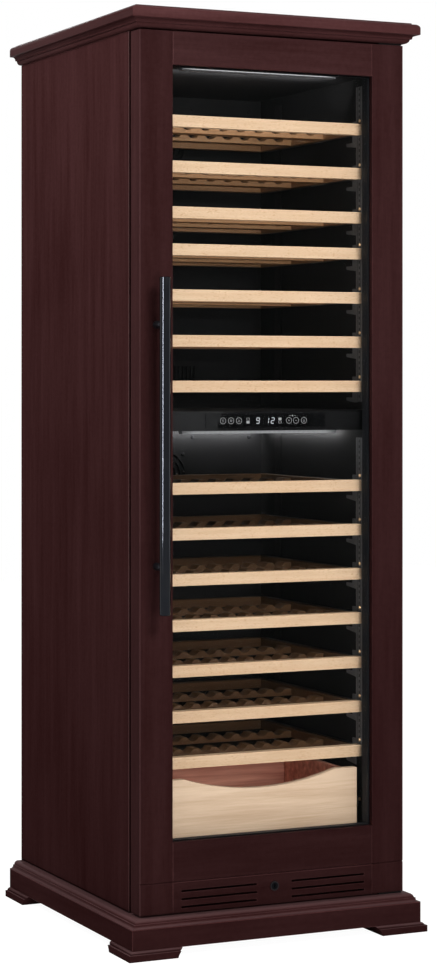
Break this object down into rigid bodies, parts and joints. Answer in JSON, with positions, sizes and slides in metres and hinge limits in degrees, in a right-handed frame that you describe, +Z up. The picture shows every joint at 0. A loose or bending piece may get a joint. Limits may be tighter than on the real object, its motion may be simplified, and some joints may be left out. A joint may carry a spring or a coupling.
{
  "type": "dual-zone wine cooler",
  "caption": "Tall dual-zone wine cooler in a moulded dark wood cabinet, with a glazed door, bar handle, pull-out scalloped shelves, control panel and bottle drawer.",
  "frame": {"origin": "on the floor, at the middle of the whole object's box", "axes": "+X to the right seen from the front, -Y out of the door, +Z up"},
  "size_m": [0.716, 0.758, 2.007],
  "materials": {
    "mahogany": "dark stained mahogany, satin lacquer",
    "beech": "planed beech, clear lacquer",
    "maple": "pale maple, clear lacquer",
    "black_case": "black powder coat",
    "foam": "rigid cast foam",
    "black_plastic": "fine grained black moulding",
    "display": "glossy black touch window",
    "light": "white light diffuser",
    "coil": "bare aluminium",
    "runner_steel": "zinc plated steel",
    "upright_grey": "dark grey paint",
    "glass": "clear coated glass",
    "seal": "soft black seal",
    "black_chrome": "polished black chrome",
    "lock_metal": "nickel plate"
  },
  "bodies": {
    "cabinet": {"left_side_panel": "mahogany", "right_side_panel": "mahogany", "cornice_cap": "mahogany", "cornice_moulding": "mahogany", "plinth_top": "mahogany", "plinth_boards": "mahogany", "bracket_feet": "mahogany", "outer_case": "black_case", "rear_panel": "black_case", "machine_cover": "black_case", "foam_insulation": "foam", "front_flange": "black_plastic", "upper_liner": "black_plastic", "lower_liner": "black_plastic", "zone_divider": "black_plastic", "kick_grille": "black_plastic", "control_panel": "black_plastic", "display_window": "display", "light_bars": "light", "duct_covers": "black_plastic", "evaporators": "coil", "fan_motors": "black_plastic", "rail_uprights": "upright_grey", "fixed_runners": "runner_steel", "lock_strike": "runner_steel", "hinge_brackets": "runner_steel", "compressor": "black_case", "condenser": "coil", "mains_inlet": "black_plastic"},
    "door": {"door_left_stile": "mahogany", "door_right_stile": "mahogany", "door_top_rail": "mahogany", "door_bottom_rail": "mahogany", "door_vent_panel": "mahogany", "glass_panes": "glass", "glass_spacer": "coil", "glazing_frame": "black_plastic", "door_gasket": "seal", "handle_bar": "black_chrome", "handle_posts": "black_chrome", "hinge_bushes": "black_plastic"},
    "lock": {"lock_cylinder": "lock_metal"},
    "upper_fan": {"upper_fan": "black_plastic"},
    "lower_fan": {"lower_fan": "black_plastic"},
    "condenser_fan": {"condenser_fan": "black_plastic"},
    "bottle_drawer": {"bottle_drawer": "maple"},
    "shelf_01": {"shelf_01": "beech"},
    "shelf_02": {"shelf_02": "beech"},
    "shelf_03": {"shelf_03": "beech"},
    "shelf_04": {"shelf_04": "beech"},
    "shelf_05": {"shelf_05": "beech"},
    "shelf_06": {"shelf_06": "beech"},
    "shelf_07": {"shelf_07": "beech"},
    "shelf_08": {"shelf_08": "beech"},
    "shelf_09": {"shelf_09": "beech"},
    "shelf_10": {"shelf_10": "beech"},
    "shelf_11": {"shelf_11": "beech"},
    "shelf_12": {"shelf_12": "beech"},
    "shelf_13": {"shelf_13": "beech"},
    "shelf_14": {"shelf_14": "beech"}
  },
  "joints": [
    {"name": "door", "type": "hinge", "parent": "cabinet", "child": "door", "pos_m": [0.306, -0.298, 1], "axis": [0, 0, 1], "range_deg": [0, 150]},
    {"name": "lock", "type": "hinge", "parent": "door", "child": "lock", "pos_m": [0, -0.321, 0.124], "axis": [0, 1, 0], "range_deg": [0, 90]},
    {"name": "upper_fan", "type": "hinge", "parent": "cabinet", "child": "upper_fan", "pos_m": [0, 0.272, 1.777], "axis": [0, 1, 0], "continuous": true},
    {"name": "lower_fan", "type": "hinge", "parent": "cabinet", "child": "lower_fan", "pos_m": [0, 0.272, 0.992], "axis": [0, 1, 0], "continuous": true},
    {"name": "condenser_fan", "type": "hinge", "parent": "cabinet", "child": "condenser_fan", "pos_m": [0.125, 0.258, 0.167], "axis": [0, 1, 0], "continuous": true},
    {"name": "shelf_01", "type": "slide", "parent": "cabinet", "child": "shelf_01", "axis": [0, -1, 0], "range_m": [0, 0.2001]},
    {"name": "shelf_02", "type": "slide", "parent": "cabinet", "child": "shelf_02", "axis": [0, -1, 0], "range_m": [0, 0.2001]},
    {"name": "shelf_03", "type": "slide", "parent": "cabinet", "child": "shelf_03", "axis": [0, -1, 0], "range_m": [0, 0.2001]},
    {"name": "shelf_04", "type": "slide", "parent": "cabinet", "child": "shelf_04", "axis": [0, -1, 0], "range_m": [0, 0.2001]},
    {"name": "shelf_05", "type": "slide", "parent": "cabinet", "child": "shelf_05", "axis": [0, -1, 0], "range_m": [0, 0.2001]},
    {"name": "shelf_06", "type": "slide", "parent": "cabinet", "child": "shelf_06", "axis": [0, -1, 0], "range_m": [0, 0.2001]},
    {"name": "shelf_07", "type": "slide", "parent": "cabinet", "child": "shelf_07", "axis": [0, -1, 0], "range_m": [0, 0.2001]},
    {"name": "shelf_08", "type": "slide", "parent": "cabinet", "child": "shelf_08", "axis": [0, -1, 0], "range_m": [0, 0.2001]},
    {"name": "shelf_09", "type": "slide", "parent": "cabinet", "child": "shelf_09", "axis": [0, -1, 0], "range_m": [0, 0.2001]},
    {"name": "shelf_10", "type": "slide", "parent": "cabinet", "child": "shelf_10", "axis": [0, -1, 0], "range_m": [0, 0.2001]},
    {"name": "shelf_11", "type": "slide", "parent": "cabinet", "child": "shelf_11", "axis": [0, -1, 0], "range_m": [0, 0.2001]},
    {"name": "shelf_12", "type": "slide", "parent": "cabinet", "child": "shelf_12", "axis": [0, -1, 0], "range_m": [0, 0.2001]},
    {"name": "shelf_13", "type": "slide", "parent": "cabinet", "child": "shelf_13", "axis": [0, -1, 0], "range_m": [0, 0.2001]},
    {"name": "shelf_14", "type": "slide", "parent": "cabinet", "child": "shelf_14", "axis": [0, -1, 0], "range_m": [0, 0.2001]},
    {"name": "bottle_drawer", "type": "slide", "parent": "cabinet", "child": "bottle_drawer", "axis": [0, -1, 0], "range_m": [0, 0.2001]}
  ],
  "couplings": [
    {"joint": "shelf_01", "follows": "door", "m_per_rad": 0.076394},
    {"joint": "shelf_02", "follows": "door", "m_per_rad": 0.076394},
    {"joint": "shelf_03", "follows": "door", "m_per_rad": 0.076394},
    {"joint": "shelf_04", "follows": "door", "m_per_rad": 0.076394},
    {"joint": "shelf_05", "follows": "door", "m_per_rad": 0.076394},
    {"joint": "shelf_06", "follows": "door", "m_per_rad": 0.076394},
    {"joint": "shelf_07", "follows": "door", "m_per_rad": 0.076394},
    {"joint": "shelf_08", "follows": "door", "m_per_rad": 0.076394},
    {"joint": "shelf_09", "follows": "door", "m_per_rad": 0.076394},
    {"joint": "shelf_10", "follows": "door", "m_per_rad": 0.076394},
    {"joint": "shelf_11", "follows": "door", "m_per_rad": 0.076394},
    {"joint": "shelf_12", "follows": "door", "m_per_rad": 0.076394},
    {"joint": "shelf_13", "follows": "door", "m_per_rad": 0.076394},
    {"joint": "shelf_14", "follows": "door", "m_per_rad": 0.076394},
    {"joint": "bottle_drawer", "follows": "door", "m_per_rad": 0.076394}
  ]
}
